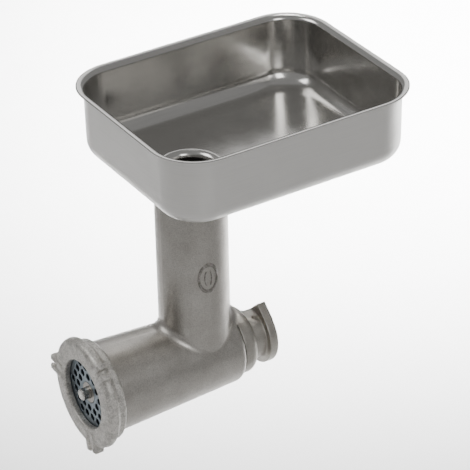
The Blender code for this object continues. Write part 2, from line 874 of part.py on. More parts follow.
def build_hub():
    seat_rear = BOSS_REAR_Y + GAP
    seal_rear = BOSS_REAR_Y + 2 * GAP + SEAL_THICKNESS + GAP
    front = BARREL_REAR_Y + GAP
    hub = turned_on_worm_axis(
        "hub_adapter",
        [
            (FLANGE_R - FLANGE_EDGE, HUB_REAR_Y),
            (FLANGE_R, HUB_REAR_Y - FLANGE_EDGE),
            (FLANGE_R, FLANGE_FRONT_Y),
            (SPIGOT_R, FLANGE_FRONT_Y),
            (SPIGOT_R, HUB_BODY_REAR_Y),
            *rounded_edge(HUB_BODY_R, HUB_BODY_REAR_Y, HUB_BODY_ROUND),
            (HUB_BODY_R, front),
            (BOSS_R + GAP, front),
            (BOSS_R + GAP, seat_rear),
            (SEAL_R + GAP, seat_rear),
            (SEAL_R + GAP, seal_rear),
            (TAIL_R + 2 * GAP, seal_rear),
            (TAIL_R + 2 * GAP, HUB_REAR_Y),
        ],
        "cast_steel",
        ring=True,
    )
    join(hub, flange_corner())
    dimple_y = FLANGE_FRONT_Y - DIMPLE_R - GAP
    x, z = polar(1.0, DIMPLE_ANGLE)
    dimple = cylinder(
        "dimple_cutter",
        0.4 * DIMPLE_R,
        ((SPIGOT_R - DIMPLE_DEPTH) * x, dimple_y, (SPIGOT_R - DIMPLE_DEPTH) * z),
        ((SPIGOT_R + GAP) * x, dimple_y, (SPIGOT_R + GAP) * z),
        segments=PIN_ROUND,
        end_radius=DIMPLE_R,
    )
    cut(hub, flange_flat(), dimple)
    build_grub_screws(hub)


def build_grub_screws(hub):
    """The screws that hold the hub on the housing's boss, in holes through the hub's side."""
    grub_y = (BARREL_REAR_Y + HUB_BODY_REAR_Y) / 2
    inner = BOSS_R + 2 * GAP
    outer = inner + GRUB_LENGTH
    for name, degrees in GRUB_ANGLES.items():
        x, z = polar(1.0, degrees)
        hole = cylinder(
            name + "_hole_cutter",
            GRUB_R + GAP,
            ((BOSS_R - GAP) * x, grub_y, (BOSS_R - GAP) * z),
            ((HUB_BODY_R + CUT) * x, grub_y, (HUB_BODY_R + CUT) * z),
            segments=PIN_ROUND,
        )
        cut(hub, hole)
        screw = cylinder(
            name,
            GRUB_R,
            (inner * x, grub_y, inner * z),
            (outer * x, grub_y, outer * z),
            "bright_steel",
            segments=PIN_ROUND,
        )
        hexagon = cylinder(
            name + "_hex_cutter",
            GRUB_HEX_R,
            ((outer - GRUB_HEX_DEPTH) * x, grub_y, (outer - GRUB_HEX_DEPTH) * z),
            ((outer + CUT) * x, grub_y, (outer + CUT) * z),
            segments=6,
        )
        cut(screw, hexagon)


# The tray


def rounded_rectangle(half_x, half_y, corner, z):
    """Points of a rounded rectangle round the tray's centre, anticlockwise from +X."""
    points = []
    for quarter in range(4):
        across = 1 if quarter in (0, 3) else -1
        up = 1 if quarter in (0, 1) else -1
        for step in range(CORNER_STEPS + 1):
            angle = math.radians(90.0 * (quarter + step / CORNER_STEPS))
            points.append(
                (
                    TRAY_X + across * (half_x - corner) + corner * math.cos(angle),
                    TRAY_Y + up * (half_y - corner) + corner * math.sin(angle),
                    z,
                )
            )
    return points


def tray_sections():
    """The tray's inner surface, from the edge of its flat floor up the wall to the lip."""
    floor = TRAY_FLOOR_Z + TRAY_SHEET
    wall_top = TRAY_FLOOR_Z + TRAY_HEIGHT - TRAY_LIP_UP
    fillet = TRAY_FLOOR_FILLET
    lean = TRAY_DRAFT * (wall_top - floor - fillet)
    half_x = TRAY_HALF_X - TRAY_SHEET
    half_y = TRAY_HALF_Y - TRAY_SHEET
    corner = TRAY_CORNER_R - TRAY_SHEET
    sections = []
    for step in range(FILLET_STEPS + 1):
        angle = math.radians(90.0 * step / FILLET_STEPS)
        inset = lean + fillet * (1.0 - math.sin(angle))
        z = floor + fillet * (1.0 - math.cos(angle))
        sections.append(rounded_rectangle(half_x - inset, half_y - inset, corner - inset, z))
    for step in range(LIP_STEPS + 1):
        angle = math.radians(90.0 * step / LIP_STEPS)
        out = TRAY_LIP_OUT * (1.0 - math.cos(angle))
        z = wall_top + TRAY_LIP_UP * math.sin(angle)
        sections.append(rounded_rectangle(half_x + out, half_y + out, corner + out, z))
    return sections


def build_tray():
    sections = tray_sections()
    bm = bmesh.new()
    rings = [[bm.verts.new(point) for point in section] for section in sections]
    count = len(rings[0])
    bm.faces.new(rings[0])
    for low, high in zip(rings, rings[1:]):
        for i in range(count):
            j = (i + 1) % count
            bm.faces.new((low[j], low[i], high[i], high[j]))
    bmesh.ops.recalc_face_normals(bm, faces=bm.faces)
    mesh = bpy.data.meshes.new("tray")
    bm.to_mesh(mesh)
    bm.free()
    tray = new_object("tray", mesh, "bright_steel")
    sheet = tray.modifiers.new("Sheet", "SOLIDIFY")
    sheet.thickness = TRAY_SHEET
    sheet.offset = -1.0
    sheet.use_even_offset = True
    flare_r = SPOUT_R + SPOUT_FLARE
    hole = cylinder(
        "tray_hole_cutter",
        flare_r + GAP,
        (0.0, NECK_Y, TRAY_FLOOR_Z - CUT),
        (0.0, NECK_Y, TRAY_FLOOR_Z + TRAY_SHEET + CUT),
        segments=ROUND - 2,
    )
    cut(tray, hole)


def build_spout():
    """The tube under the tray's hole, with its top flared to a rounded edge."""
    top = TRAY_FLOOR_Z + TRAY_SHEET
    inner = SPOUT_R - SPOUT_SHEET
    profile = []
    for step in range(FILLET_STEPS + 1):
        angle = math.radians(90.0 * step / FILLET_STEPS)
        drop = (SPOUT_FLARE - SPOUT_SHEET) * (1.0 - math.sin(angle))
        radius = SPOUT_R + (SPOUT_FLARE - SPOUT_SHEET) * (1.0 - math.cos(angle))
        profile.insert(0, (radius, top - SPOUT_SHEET - drop))
    profile.insert(0, (SPOUT_R + SPOUT_FLARE, top - SPOUT_SHEET))
    profile.insert(0, (SPOUT_R + SPOUT_FLARE, top))
    profile.append((SPOUT_R, top - SPOUT_LENGTH))
    profile.append((inner, top - SPOUT_LENGTH))
    for step in range(FILLET_STEPS + 1):
        angle = math.radians(90.0 * step / FILLET_STEPS)
        drop = SPOUT_FLARE * (1.0 - math.sin(angle))
        radius = inner + SPOUT_FLARE * (1.0 - math.cos(angle))
        profile.append((radius, top - drop))
    spout = turned("tray_spout", profile, "bright_steel", ring=True)
    spout.location.y = NECK_Y


clear_scene()
PARTS = new_collection("Meat mincer head")
HELPERS = new_collection("Cutters")
MATERIALS = {name: new_material(name, *finish) for name, finish in FINISHES.items()}

build_housing()
build_plate()
build_knife()
build_ring_nut()
build_worm()
build_bearing()
build_hub()
build_tray()
build_spout()
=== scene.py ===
"""Looks for the meat mincer head: castings, sheet steel, materials, light and camera."""

import math

import bmesh
import bpy
from mathutils import Matrix, Vector


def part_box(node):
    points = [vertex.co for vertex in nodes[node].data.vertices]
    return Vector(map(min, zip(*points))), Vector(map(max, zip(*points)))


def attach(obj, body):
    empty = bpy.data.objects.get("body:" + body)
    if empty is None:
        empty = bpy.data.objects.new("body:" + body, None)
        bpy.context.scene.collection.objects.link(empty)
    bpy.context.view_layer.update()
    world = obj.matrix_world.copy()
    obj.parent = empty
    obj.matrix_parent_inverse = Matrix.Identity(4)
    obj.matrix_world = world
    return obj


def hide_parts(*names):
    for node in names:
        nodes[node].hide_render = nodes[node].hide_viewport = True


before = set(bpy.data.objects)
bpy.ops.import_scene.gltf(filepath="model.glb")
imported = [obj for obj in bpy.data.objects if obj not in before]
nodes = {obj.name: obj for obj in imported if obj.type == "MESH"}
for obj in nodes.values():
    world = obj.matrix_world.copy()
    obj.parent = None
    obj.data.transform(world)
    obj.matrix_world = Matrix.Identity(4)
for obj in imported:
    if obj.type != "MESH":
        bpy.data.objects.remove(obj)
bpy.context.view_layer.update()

MM = 0.001


# Places read from the frame

housing_low, housing_high = map(Vector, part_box("housing"))
tray_low, tray_high = map(Vector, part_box("tray"))
spout_low, spout_high = map(Vector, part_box("tray_spout"))
plate_low, plate_high = map(Vector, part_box("mincing_plate"))
pin_low, pin_high = map(Vector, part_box("plate_locating_pin"))
pin_middle = (pin_low + pin_high) / 2
tray_middle = (tray_low + tray_high) / 2


# Sizes in metres: those of the CAD source, and those of the details added here

# Clearances, and how far a cutter reaches past what it cuts
GAP = 0.3 * MM
CUT = 2.0 * MM

# A turned point nearer the axis than this is a pole
POLE_R = 0.001 * MM

# Edges stay sharp where the faces turn by more than this
CAST_SHARP_DEG = 32.0
SHEET_SHARP_DEG = 40.0
NODE_SHARP_DEG = 35.0

# Barrel and neck
BARREL_FRONT_Y = housing_low.y
BOSS_REAR_Y = housing_high.y
BARREL_REAR_Y = BOSS_REAR_Y - 15.0 * MM
BARREL_FRONT_R = 38.9 * MM
BARREL_REAR_R = 33.5 * MM
BARREL_REAR_ROUND = 6.0 * MM
BARREL_WALL = 6.0 * MM
BOSS_R = 20.0 * MM
BUSH_BORE_R = 15.3 * MM
CHAMBER_FRONT_Y = BARREL_FRONT_Y + 18.4 * MM
CHAMBER_REAR_Y = BARREL_REAR_Y - 4.5 * MM
PIN_HOLE_R = 2.3 * MM
NECK_Y = (spout_low.y + spout_high.y) / 2
NECK_R = 30.0 * MM
NECK_BORE_R = 26.5 * MM
NECK_TOP_Z = housing_high.z
NECK_EDGE = 1.0 * MM

# The fillet between neck and barrel, and how its section closes inside the metal
NECK_FILLET = 8.0 * MM
FILLET_PROUD = 0.05 * MM
FILLET_ROOT = 3.0 * MM
FILLET_PULLED_IN = 0.97
FILLET_DROP = 1.0 * MM

# The thread at the barrel's front, whose ridge sinks under the root at both ends
THREAD_MAJOR_R = housing_high.x
THREAD_HEIGHT = 1.4 * MM
THREAD_PITCH = 4.0 * MM
THREAD_LENGTH = 12.4 * MM
THREAD_ROOT_R = THREAD_MAJOR_R - THREAD_HEIGHT
THREAD_REAR_Y = BARREL_FRONT_Y + THREAD_LENGTH
THREAD_SHOULDER = 1.2 * MM
THREAD_LEAD_IN = 0.5 * MM
THREAD_STEPS_PER_TURN = 96
THREAD_RUN_OUT_TURNS = 0.25
THREAD_END_SUNK = 0.35 * MM
THREAD_FOOT_SUNK = 0.7 * MM
THREAD_FOOT_HALF = 1.2 * MM
THREAD_CREST_HALF = 0.45 * MM

# The oval mark on the neck
MARK_FACING_DEG = 84.0
MARK_MIDDLE_Z = 91.0 * MM
MARK_HALF_WIDE = 8.2 * MM
MARK_HALF_HIGH = 12.5 * MM
MARK_RIDGE = 1.2 * MM
MARK_RISE = 0.9 * MARK_RIDGE
BAR_FROM_MIDDLE = 3.0 * MM
BAR_BOW = 0.35
BAR_HALF_HIGH = 6.5 * MM
BAR_HALF_WIDE = 0.7 * MM
BAR_RISE = 0.9 * MM

# The plate and its holes
PLATE_R = (plate_high.x - plate_low.x) / 2
PLATE_EDGE = 0.4 * MM
PLATE_BORE_R = 9.3 * MM
PLATE_NOTCH_R = 2.6 * MM
HOLE_R = 3.0 * MM
HOLE_PITCH = 8.6 * MM
HOLE_ROW_PITCH = HOLE_PITCH * math.sqrt(0.75)
HOLE_INNER_R = 12.4 * MM
HOLE_RIM = 3.2 * MM
HOLE_EDGE = 0.3 * MM
HOLE_FLARE = 1.0 * MM

# The tray and its spout, with the lip drawn in so that its rounded edge stays near the CAD's
TRAY_SHEET = 1.2 * MM
TRAY_LIP_OUT = 6.6 * MM
TRAY_LIP_UP = 4.3 * MM
TRAY_LIP_INSET = 0.2 * MM
TRAY_CORNER_R = 33.5 * MM
TRAY_FLOOR_FILLET = 14.0 * MM
TRAY_DRAFT = 0.015
SPOUT_R = 23.0 * MM
SPOUT_FLARE = 6.0 * MM
SPOUT_HOLE_R = SPOUT_R + SPOUT_FLARE + 0.05 * MM


# Shape helpers


def new_object(name, data):
    obj = bpy.data.objects.new(name, data)
    bpy.context.scene.collection.objects.link(obj)
    return obj


def mesh_of(bm, name):
    """A mesh from a closed bmesh, with its faces pointing outwards."""
    bmesh.ops.recalc_face_normals(bm, faces=bm.faces)
    if bm.calc_volume(signed=True) < 0.0:
        bmesh.ops.reverse_faces(bm, faces=bm.faces)
    mesh = bpy.data.meshes.new(name)
    bm.to_mesh(mesh)
    bm.free()
    return mesh


def bridge(bm, first, second):
    """Faces between two closed rings of the same length. A ring of one point is a pole."""
    count = max(len(first), len(second))
    for i in range(count):
        j = (i + 1) % count
        corners = [
            first[i % len(first)],
            first[j % len(first)],
            second[j % len(second)],
            second[i % len(second)],
        ]
        bm.faces.new(list(dict.fromkeys(corners)))


def bridge_all(bm, rings):
    for first, second in zip(rings, rings[1:]):
        bridge(bm, first, second)


def turned(name, profile, segments=96, along="Y", centre=(0.0, 0.0, 0.0), ring=False):
    """A turned solid from (radius, height) points. A ring's profile closes on itself."""
    bm = bmesh.new()
    rings = []
    for radius, height in profile:
        if radius < POLE_R:
            offsets = [(0.0, 0.0)]
        else:
            angles = [2 * math.pi * i / segments for i in range(segments)]
            offsets = [(radius * math.cos(angle), radius * math.sin(angle)) for angle in angles]
        points = [(u, height, v) if along == "Y" else (u, v, height) for u, v in offsets]
        rings.append([bm.verts.new(Vector(centre) + Vector(point)) for point in points])
    bridge_all(bm, rings)
    if ring:
        bridge(bm, rings[-1], rings[0])
    return new_object(name, mesh_of(bm, name))


def arc(centre, radius, start, end, steps):
    """Points along an arc from start to end degrees."""
    points = []
    for step in range(steps + 1):
        angle = math.radians(start + (end - start) * step / steps)
        points.append((centre[0] + radius * math.cos(angle), centre[1] + radius * math.sin(angle)))
    return points


def combined(base, operation, others):
    """Adds one Boolean for each of the others."""
    for other in others:
        modifier = base.modifiers.new(other.name, "BOOLEAN")
        modifier.operation = operation
        modifier.solver = "EXACT"
        modifier.object = other


def baked(obj, helpers):
    """Applies an object's modifiers and removes the helpers they used."""
    bpy.context.view_layer.update()
    shaped = obj.evaluated_get(bpy.context.evaluated_depsgraph_get())
    mesh = bpy.data.meshes.new_from_object(shaped)
    obj.modifiers.clear()
    obj.data = mesh
    for helper in helpers:
        bpy.data.objects.remove(helper, do_unlink=True)


def joined(name, objects):
    """One object from several, which it takes the place of."""
    bm = bmesh.new()
    for obj in objects:
        bm.from_mesh(obj.data)
        bpy.data.objects.remove(obj, do_unlink=True)
    mesh = bpy.data.meshes.new(name)
    bm.to_mesh(mesh)
    bm.free()
    return new_object(name, mesh)


def smooth(obj, sharp_deg):
    """Smooth shading, with edges kept sharp where the faces turn by more than the angle."""
    obj.data.shade_smooth()
    obj.data.set_sharp_from_angle(angle=math.radians(sharp_deg))


def placed(obj, body, material_slot, materials, *replaced):
    """Finishes a piece: its materials, the body it rides on and the nodes it stands for."""
    obj.data.materials.clear()
    for material in materials:
        obj.data.materials.append(material)
    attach(obj, body)
    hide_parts(*replaced)


# The housing


def barrel_radius(y):
    """The barrel's outer radius, which tapers evenly from behind the thread to the rear."""
    share = (y - THREAD_REAR_Y) / (BARREL_REAR_Y - THREAD_REAR_Y)
    return BARREL_FRONT_R + share * (BARREL_REAR_R - BARREL_FRONT_R)


def fillet_section(angle, steps):
    """The fillet's section in one direction round the neck, closed inside the metal."""
    cos = math.cos(angle)
    sin = math.sin(angle)
    middle = Vector(((NECK_R + NECK_FILLET) * cos, (NECK_R + NECK_FILLET) * sin, 0.0))
    barrel_r = barrel_radius(NECK_Y + middle.y)
    middle.z = math.sqrt((barrel_r + NECK_FILLET) ** 2 - middle.x**2)
    to_neck = Vector((NECK_R * cos, NECK_R * sin, middle.z)) - middle
    share = barrel_r / (barrel_r + NECK_FILLET)
    to_barrel = Vector((middle.x * share, middle.y, middle.z * share)) - middle
    section = []
    for step in range(steps + 1):
        spoke = to_neck.normalized().slerp(to_barrel.normalized(), step / steps)
        section.append(middle + spoke * (NECK_FILLET + FILLET_PROUD))
    below_barrel = section[-1] * FILLET_PULLED_IN - Vector((0.0, 0.0, FILLET_DROP))
    in_neck_wall = Vector(((NECK_R - FILLET_ROOT) * cos, (NECK_R - FILLET_ROOT) * sin, 0.0))
    in_neck_wall.z = math.sqrt(max((barrel_r - FILLET_ROOT) ** 2 - in_neck_wall.x**2, 0.0))
    above = Vector((in_neck_wall.x, in_neck_wall.y, section[0].z))
    return [*section, below_barrel, in_neck_wall, above]


def neck_fillet():
    """The rolled fillet where the neck meets the barrel."""
    bm = bmesh.new()
    around = 144
    neck_foot = Vector((0.0, NECK_Y, 0.0))
    rings = []
    for i in range(around):
        section = fillet_section(2 * math.pi * i / around, steps=9)
        rings.append([bm.verts.new(point + neck_foot) for point in section])
    bridge_all(bm, [*rings, rings[0]])
    return new_object("neck_fillet", mesh_of(bm, "neck_fillet"))


def barrel_thread():
    """The ridge of the front thread, running out into the barrel at both ends."""
    bm = bmesh.new()
    turns = (THREAD_LENGTH - THREAD_PITCH) / THREAD_PITCH
    steps = round(turns * THREAD_STEPS_PER_TURN)
    foot_r = THREAD_ROOT_R - THREAD_FOOT_SUNK
    low_r = THREAD_ROOT_R - THREAD_END_SUNK
    rings = []
    for step in range(steps + 1):
        share = step / steps
        rise = min(1.0, min(share, 1.0 - share) * turns / THREAD_RUN_OUT_TURNS)
        angle = -2 * math.pi * turns * share
        y = BARREL_FRONT_Y + THREAD_PITCH * (0.5 + turns * share)
        crest_r = low_r + (THREAD_MAJOR_R - low_r) * rise
        corners = [
            (foot_r, y - THREAD_FOOT_HALF),
            (crest_r, y - THREAD_CREST_HALF),
            (crest_r, y + THREAD_CREST_HALF),
            (foot_r, y + THREAD_FOOT_HALF),
        ]
        rings.append([
            bm.verts.new((radius * math.cos(angle), along, radius * math.sin(angle)))
            for radius, along in corners
        ])
    bridge_all(bm, rings)
    bm.faces.new(rings[0])
    bm.faces.new(rings[-1])
    return new_object("barrel_thread", mesh_of(bm, "barrel_thread"))


def on_neck(across, up, out):
    """A point on the neck, measured from the mark's middle and out from the neck's surface."""
    angle = math.radians(MARK_FACING_DEG - 90.0) + across / NECK_R
    radius = NECK_R + out
    return Vector((radius * math.cos(angle), NECK_Y + radius * math.sin(angle), MARK_MIDDLE_Z + up))


def oval_mark():
    """A plain raised oval on the neck with two bowed bars inside it, and no lettering."""
    bm = bmesh.new()
    around = 64
    ridge_sides = 10
    rings = []
    for i in range(around):
        angle = 2 * math.pi * i / around
        ring = []
        for j in range(ridge_sides):
            turn = 2 * math.pi * j / ridge_sides
            reach = 1.0 + MARK_RIDGE * math.cos(turn) / MARK_HALF_WIDE
            across = MARK_HALF_WIDE * reach * math.cos(angle)
            up = MARK_HALF_HIGH * reach * math.sin(angle)
            ring.append(bm.verts.new(on_neck(across, up, MARK_RISE * math.sin(turn))))
        rings.append(ring)
    bridge_all(bm, [*rings, rings[0]])

    bar_rings = 24
    bar_sides = 8
    for side in (-1.0, 1.0):
        rings = []
        for i in range(bar_rings):
            share = i / (bar_rings - 1) * 2.0 - 1.0
            middle = side * BAR_FROM_MIDDLE * (1.0 - BAR_BOW * share * share)
            ring = []
            for j in range(bar_sides):
                turn = 2 * math.pi * j / bar_sides
                across = middle + BAR_HALF_WIDE * math.cos(turn)
                out = BAR_RISE * math.sin(turn)
                ring.append(bm.verts.new(on_neck(across, share * BAR_HALF_HIGH, out)))
            rings.append(ring)
        bridge_all(bm, rings)
        bm.faces.new(rings[0])
        bm.faces.new(rings[-1])
    return new_object("oval_mark", mesh_of(bm, "oval_mark"))


def barrel_solid():
    round_middle = (BARREL_REAR_R - BARREL_REAR_ROUND, BARREL_REAR_Y - BARREL_REAR_ROUND)
    return turned("housing_detail", [
        (0.0, BOSS_REAR_Y),
        (BOSS_R, BOSS_REAR_Y),
        (BOSS_R, BARREL_REAR_Y),
        *arc(round_middle, BARREL_REAR_ROUND, 90.0, 0.0, 10),
        (BARREL_FRONT_R, THREAD_REAR_Y + THREAD_SHOULDER),
        (THREAD_ROOT_R, THREAD_REAR_Y),
        (THREAD_ROOT_R, BARREL_FRONT_Y + THREAD_LEAD_IN),
        (THREAD_ROOT_R - THREAD_LEAD_IN, BARREL_FRONT_Y),
        (0.0, BARREL_FRONT_Y),
    ], segments=144)


def neck_solid():
    return turned("neck", [
        (0.0, NECK_TOP_Z),
        (NECK_R - NECK_EDGE, NECK_TOP_Z),
        (NECK_R - 0.3 * NECK_EDGE, NECK_TOP_Z - 0.3 * NECK_EDGE),
        (NECK_R, NECK_TOP_Z - NECK_EDGE),
        (NECK_R, 0.0),
        (0.0, 0.0),
    ], segments=120, along="Z", centre=(0.0, NECK_Y, 0.0))


def chamber_cutter():
    """The worm's chamber, with the bush's bore behind it and the plate's recess in front."""
    return turned("chamber", [
        (0.0, BOSS_REAR_Y + CUT),
        (BUSH_BORE_R, BOSS_REAR_Y + CUT),
        (BUSH_BORE_R, CHAMBER_REAR_Y),
        (barrel_radius(CHAMBER_REAR_Y) - BARREL_WALL, CHAMBER_REAR_Y),
        (barrel_radius(CHAMBER_FRONT_Y) - BARREL_WALL, CHAMBER_FRONT_Y),
        (PLATE_R + GAP, CHAMBER_FRONT_Y),
        (PLATE_R + GAP, BARREL_FRONT_Y - CUT),
        (0.0, BARREL_FRONT_Y - CUT),
    ], segments=110)


def neck_bore_cutter():
    return turned("neck_bore", [
        (0.0, NECK_TOP_Z + CUT),
        (NECK_BORE_R, NECK_TOP_Z + CUT),
        (NECK_BORE_R, 0.0),
        (0.0, 0.0),
    ], segments=100, along="Z", centre=(0.0, NECK_Y, 0.0))


def pin_hole_cutter():
    return turned("pin_hole", [
        (0.0, pin_high.y + GAP),
        (PIN_HOLE_R, pin_high.y + GAP),
        (PIN_HOLE_R, BARREL_FRONT_Y - CUT),
        (0.0, BARREL_FRONT_Y - CUT),
    ], segments=16, centre=(pin_middle.x, 0.0, pin_middle.z))


def build_housing():
    barrel = barrel_solid()
    added = [neck_solid(), neck_fillet()]
    cut = [chamber_cutter(), neck_bore_cutter(), pin_hole_cutter()]
    combined(barrel, "UNION", added)
    combined(barrel, "DIFFERENCE", cut)
    baked(barrel, added + cut)
    smooth(barrel, CAST_SHARP_DEG)
    return barrel


# The mincing plate


def plate_holes():
    """Centres of the plate's holes: a triangular grid between the bush and the rim."""
    reach = PLATE_R - HOLE_RIM - HOLE_R
    rows = int(reach / HOLE_ROW_PITCH) + 1
    columns = int(reach / HOLE_PITCH) + 1
    for row in range(-rows, rows + 1):
        z = row * HOLE_ROW_PITCH
        for column in range(-columns, columns + 1):
            x = (column + 0.5 * (row % 2)) * HOLE_PITCH
            if HOLE_INNER_R <= math.hypot(x, z) <= reach:
                yield x, z


def hole_cutter(name, radius, x, z, segments):
    """A cutter right through the plate, flared at the front face for a broken edge."""
    return turned(name, [
        (0.0, plate_high.y + CUT),
        (radius, plate_high.y + CUT),
        (radius, plate_low.y + HOLE_EDGE),
        (radius + HOLE_EDGE + HOLE_FLARE, plate_low.y - HOLE_FLARE),
        (0.0, plate_low.y - HOLE_FLARE),
    ], segments, centre=(x, 0.0, z))


def build_plate():
    plate = turned("plate_detail", [
        (0.0, plate_high.y),
        (PLATE_R, plate_high.y),
        (PLATE_R, plate_low.y + PLATE_EDGE),
        (PLATE_R - PLATE_EDGE, plate_low.y),
        (0.0, plate_low.y),
    ])
    holes = joined("plate_holes", [
        hole_cutter(f"plate_hole_{index}", HOLE_R, x, z, 20)
        for index, (x, z) in enumerate(plate_holes())
    ])
    bore = hole_cutter("plate_bore", PLATE_BORE_R, 0.0, 0.0, 48)
    notch = hole_cutter("plate_notch", PLATE_NOTCH_R, pin_middle.x, pin_middle.z, 20)
    cutters = [holes, bore, notch]
    combined(plate, "DIFFERENCE", cutters)
    baked(plate, cutters)
    smooth(plate, CAST_SHARP_DEG)
    return plate


# The tray and its spout


def rounded_rectangle(half_x, half_y, corner, z, steps=20):
    """Points round the tray at one height, one corner after the other."""
    points = []
    for quarter in range(4):
        side_x = 1 if quarter in (0, 3) else -1
        side_y = 1 if quarter in (0, 1) else -1
        for step in range(steps + 1):
            angle = math.radians(90.0 * (quarter + step / steps))
            points.append(Vector((
                tray_middle.x + side_x * (half_x - corner) + corner * math.cos(angle),
                tray_middle.y + side_y * (half_y - corner) + corner * math.sin(angle),
                z,
            )))
    return points


def tray_path():
    """The wall's section from the floor's edge to the lip.

    Each point has its inset, its height and the way into the metal, outwards and down.
    """
    floor = tray_low.z + TRAY_SHEET
    wall_top = tray_high.z - TRAY_LIP_UP
    lean = TRAY_DRAFT * (wall_top - floor - TRAY_FLOOR_FILLET)
    fillet_steps = 12
    lip_steps = 10
    path = []
    for step in range(fillet_steps + 1):
        angle = math.radians(90.0 * step / fillet_steps)
        inset = lean + TRAY_FLOOR_FILLET * (1.0 - math.sin(angle))
        z = floor + TRAY_FLOOR_FILLET * (1.0 - math.cos(angle))
        path.append((inset, z, math.sin(angle), math.cos(angle)))
    for step in range(lip_steps + 1):
        angle = math.radians(90.0 * step / lip_steps)
        inset = -TRAY_LIP_OUT * (1.0 - math.cos(angle))
        z = wall_top + TRAY_LIP_UP * math.sin(angle)
        out = TRAY_LIP_UP * math.cos(angle)
        down = TRAY_LIP_OUT * math.sin(angle)
        size = math.hypot(out, down)
        path.append((inset, z, out / size, down / size))
    return path


def fill_floor(bm, outer, segments=96):
    """Fills the floor inside a ring, round the spout's hole, and gives the hole's circle."""
    circle = []
    for i in range(segments):
        angle = 2 * math.pi * i / segments
        x = SPOUT_HOLE_R * math.cos(angle)
        y = NECK_Y + SPOUT_HOLE_R * math.sin(angle)
        circle.append(bm.verts.new((x, y, outer[0].co.z)))
    edges = [bm.edges.new((circle[i], circle[(i + 1) % segments])) for i in range(segments)]
    edges += [bm.edges.get((outer[i], outer[(i + 1) % len(outer)])) for i in range(len(outer))]
    bmesh.ops.triangle_fill(bm, use_beauty=True, edges=[edge for edge in edges if edge])
    return circle


def build_tray():
    half = (tray_high - tray_low) / 2
    half_x = half.x - TRAY_LIP_OUT - TRAY_LIP_INSET
    half_y = half.y - TRAY_LIP_OUT - TRAY_LIP_INSET
    bm = bmesh.new()

    def ring(inset, z):
        points = rounded_rectangle(half_x - inset, half_y - inset, TRAY_CORNER_R - inset, z)
        return [bm.verts.new(point) for point in points]

    path = tray_path()
    inside = [ring(inset, z) for inset, z, _, _ in path]
    outside = [ring(inset - TRAY_SHEET * out, z - TRAY_SHEET * down) for inset, z, out, down in path]
    last_inset, last_z = path[-1][:2]
    edge = []
    for turn in (60.0, 120.0):
        reach = TRAY_SHEET / 2 * math.sin(math.radians(turn))
        drop = TRAY_SHEET / 2 * (1.0 - math.cos(math.radians(turn)))
        edge.append(ring(last_inset - reach, last_z - drop))
    bridge_all(bm, inside + edge + outside[::-1])
    upper = fill_floor(bm, inside[0])
    lower = fill_floor(bm, outside[0])
    bridge(bm, upper, lower)
    obj = new_object("tray_detail", mesh_of(bm, "tray_detail"))
    smooth(obj, SHEET_SHARP_DEG)
    paint_outside(obj)
    return obj


def paint_outside(obj):
    """Gives the second material to the faces on the sheet's outer side."""
    for face in obj.data.polygons:
        away = Vector((face.center.x - tray_middle.x, face.center.y - tray_middle.y, 0.0)).normalized()
        faces_down = face.normal.z < -0.3
        faces_out = face.normal.dot(away) > 0.5 and face.normal.z < 0.35
        if faces_down or faces_out:
            face.material_index = 1


def build_spout():
    """The flared sheet tube that drops from the tray's floor into the neck."""
    top = tray_low.z + TRAY_SHEET
    inner_r = SPOUT_R - TRAY_SHEET
    outer_flare = SPOUT_FLARE - TRAY_SHEET
    outside = arc((SPOUT_R + outer_flare, top - TRAY_SHEET - outer_flare), outer_flare, 90.0, 180.0, 10)
    inside = arc((inner_r + SPOUT_FLARE, top - SPOUT_FLARE), SPOUT_FLARE, 180.0, 90.0, 14)
    obj = turned("spout_detail", [
        (SPOUT_R + SPOUT_FLARE, top - TRAY_SHEET),
        *outside[1:],
        (SPOUT_R, spout_low.z),
        (inner_r, spout_low.z),
        *inside,
        (SPOUT_R + SPOUT_FLARE, top),
    ], along="Z", centre=(0.0, NECK_Y, 0.0), ring=True)
    smooth(obj, SHEET_SHARP_DEG)
    return obj


# Material helpers


